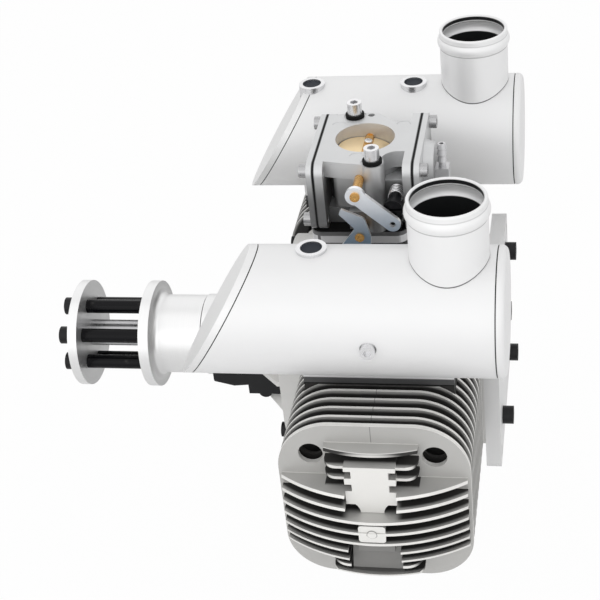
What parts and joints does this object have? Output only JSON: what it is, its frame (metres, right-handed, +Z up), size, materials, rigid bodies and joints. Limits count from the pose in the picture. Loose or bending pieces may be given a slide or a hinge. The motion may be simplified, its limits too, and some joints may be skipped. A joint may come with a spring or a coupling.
{
  "type": "flat twin aircraft engine",
  "caption": "Flat twin two-stroke engine with finned cylinders, slanted mufflers above them, a top carburettor, a square rear mount plate and a bolted propeller hub.",
  "frame": {"origin": "on the crankshaft axis, in the rear face of the mount plate", "axes": "+X forward along the crankshaft to the propeller, +Y to the left cylinder, +Z up to the carburettor"},
  "size_m": [0.26, 0.316, 0.1974],
  "materials": {
    "turned_aluminium": "satin, fine turning marks",
    "plate_aluminium": "satin, milled",
    "muffler_silver": "fine bead-blasted, silver anodised",
    "muffler_plate": "satin rolled sheet",
    "outlet_silver": "spun, silver anodised",
    "cast_aluminium": "blasted casting with brighter cut edges",
    "case_aluminium": "blasted casting",
    "carb_casting": "die-cast, satin",
    "carb_plate": "milled, satin",
    "piston_alloy": "machined",
    "ring_iron": "ground",
    "forged_steel": "ground and forged",
    "black_steel": "black oxide",
    "sleeve_black": "black anodised",
    "bright_steel": "bright zinc",
    "lever_zinc": "blue passivated zinc",
    "brass_yellow": "plain",
    "gasket_black": "matt",
    "plug_rubber": "matt slate",
    "insulator_black": "moulded phenolic",
    "sensor_black": "moulded",
    "needle_black": "black oxide",
    "magnet_nickel": "nickel plated"
  },
  "bodies": {
    "engine": {"mount_plate": "plate_aluminium", "mount_plate_screws": "black_steel", "crankcase_rear": "case_aluminium", "crankcase_front": "case_aluminium", "crankcase_screws": "black_steel", "nose_ring": "turned_aluminium", "main_bearings": "forged_steel", "shaft_seal": "gasket_black", "ignition_sensor": "sensor_black", "gaskets": "gasket_black", "cylinder_screws": "black_steel", "cylinder_left": "cast_aluminium", "cylinder_right": "cast_aluminium", "muffler_can_left": "muffler_silver", "muffler_can_right": "muffler_silver", "muffler_front_plate_left": "muffler_plate", "muffler_front_plate_right": "muffler_plate", "muffler_outlet_left": "outlet_silver", "muffler_outlet_right": "outlet_silver", "access_collars": "bright_steel", "access_plugs": "plug_rubber", "exhaust_screws": "black_steel", "muffler_side_plugs": "bright_steel", "reed_block": "carb_plate", "intake_manifold": "case_aluminium", "manifold_screws": "black_steel", "carb_insulator": "insulator_black", "carb_base_plate": "carb_plate", "carb_body": "carb_casting", "carb_front_cover": "carb_casting", "carb_rear_cover": "carb_casting", "carb_screws": "bright_steel", "needle_springs": "bright_steel", "fuel_nipple": "carb_plate"},
    "crankshaft": {"crankshaft_front": "forged_steel", "crankshaft_middle_web": "forged_steel", "crankshaft_rear": "forged_steel", "propeller_hub": "turned_aluminium", "ignition_magnet": "magnet_nickel", "front_washer": "turned_aluminium", "propeller_bolts": "black_steel", "spacer_sleeves": "sleeve_black"},
    "piston_left": {"piston_left": "piston_alloy", "piston_rings_left": "ring_iron", "wrist_pin_left": "forged_steel"},
    "piston_right": {"piston_right": "piston_alloy", "piston_rings_right": "ring_iron", "wrist_pin_right": "forged_steel"},
    "rod_left": {"connecting_rod_left": "forged_steel", "crankpin_left": "forged_steel"},
    "rod_right": {"connecting_rod_right": "forged_steel", "crankpin_right": "forged_steel"},
    "choke": {"choke_shaft": "brass_yellow", "choke_plate": "brass_yellow", "choke_lever": "lever_zinc"},
    "throttle": {"throttle_shaft": "brass_yellow", "throttle_plate": "brass_yellow", "throttle_lever": "lever_zinc"},
    "high_needle": {"high_needle": "needle_black"},
    "low_needle": {"low_needle": "needle_black"}
  },
  "joints": [
    {"name": "crank_spin", "type": "hinge", "parent": "engine", "child": "crankshaft", "pos_m": [0.1, 0, 0], "axis": [1, 0, 0], "continuous": true},
    {"name": "piston_left_slide", "type": "slide", "parent": "engine", "child": "piston_left", "axis": [0, 1, 0], "range_m": [-0.041, 0]},
    {"name": "piston_right_slide", "type": "slide", "parent": "engine", "child": "piston_right", "axis": [0, -1, 0], "range_m": [-0.041, 0]},
    {"name": "rod_left_swing", "type": "hinge", "parent": "piston_left", "child": "rod_left", "pos_m": [0.055, 0.0955, 0], "axis": [1, 0, 0], "range_deg": [-15.86, 15.86]},
    {"name": "rod_right_swing", "type": "hinge", "parent": "piston_right", "child": "rod_right", "pos_m": [0.0822, -0.0955, 0], "axis": [1, 0, 0], "range_deg": [-15.86, 15.86]},
    {"name": "choke_turn", "type": "hinge", "parent": "engine", "child": "choke", "pos_m": [0.0686, 0, 0.1185], "axis": [0, -1, 0], "range_deg": [0, 75]},
    {"name": "throttle_turn", "type": "hinge", "parent": "engine", "child": "throttle", "pos_m": [0.0686, 0, 0.0925], "axis": [0, 1, 0], "range_deg": [0, 75]},
    {"name": "high_needle_turn", "type": "hinge", "parent": "engine", "child": "high_needle", "pos_m": [0.0507, 0.03, 0.109], "axis": [0, 1, 0], "range_deg": [-540, 360]},
    {"name": "low_needle_turn", "type": "hinge", "parent": "engine", "child": "low_needle", "pos_m": [0.0507, 0.03, 0.097], "axis": [0, 1, 0], "range_deg": [-540, 360]}
  ],
  "couplings": [
    {"joint": "piston_right_slide", "follows": "piston_left_slide", "ratio": 1},
    {"joint": "rod_right_swing", "follows": "rod_left_swing", "ratio": 1}
  ]
}
